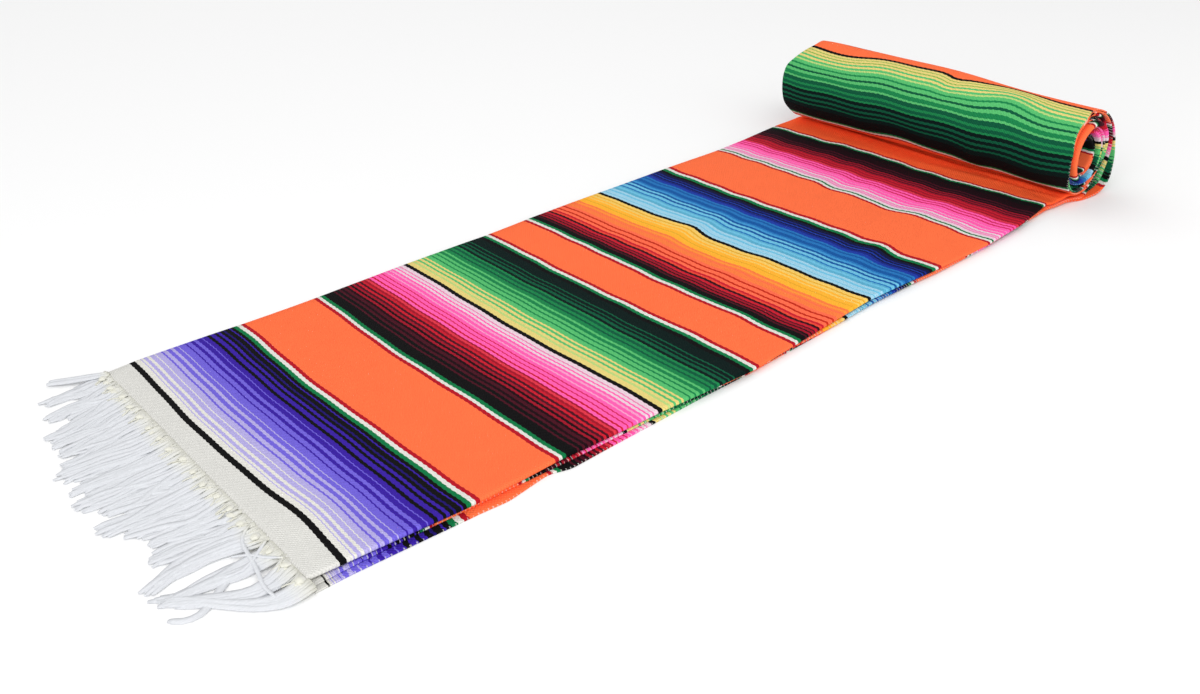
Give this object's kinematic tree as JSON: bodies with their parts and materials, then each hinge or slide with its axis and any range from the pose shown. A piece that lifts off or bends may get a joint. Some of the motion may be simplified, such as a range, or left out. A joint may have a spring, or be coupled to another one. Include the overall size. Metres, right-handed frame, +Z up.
{
  "type": "mexican serape",
  "caption": "Striped serape blanket folded lengthwise, laid flat with a knotted fringe at its near end and rolled up at its far end.",
  "frame": {"origin": "on the floor, under the middle of the outline", "axes": "+X along the cloth from the fringed end to the roll, +Z up, the fold and the selvages on the -Y side"},
  "size_m": [1.0371, 0.4059, 0.1034],
  "materials": {
    "striped_cloth": "matt weft-faced weave in shaded stripes on orange",
    "warp_fringe": "matt white warp yarn, knotted"
  },
  "bodies": {
    "root": {"flat_run": "striped_cloth", "roll": "striped_cloth", "fringe_upper": "warp_fringe", "fringe_lower": "warp_fringe"}
  },
  "joints": []
}
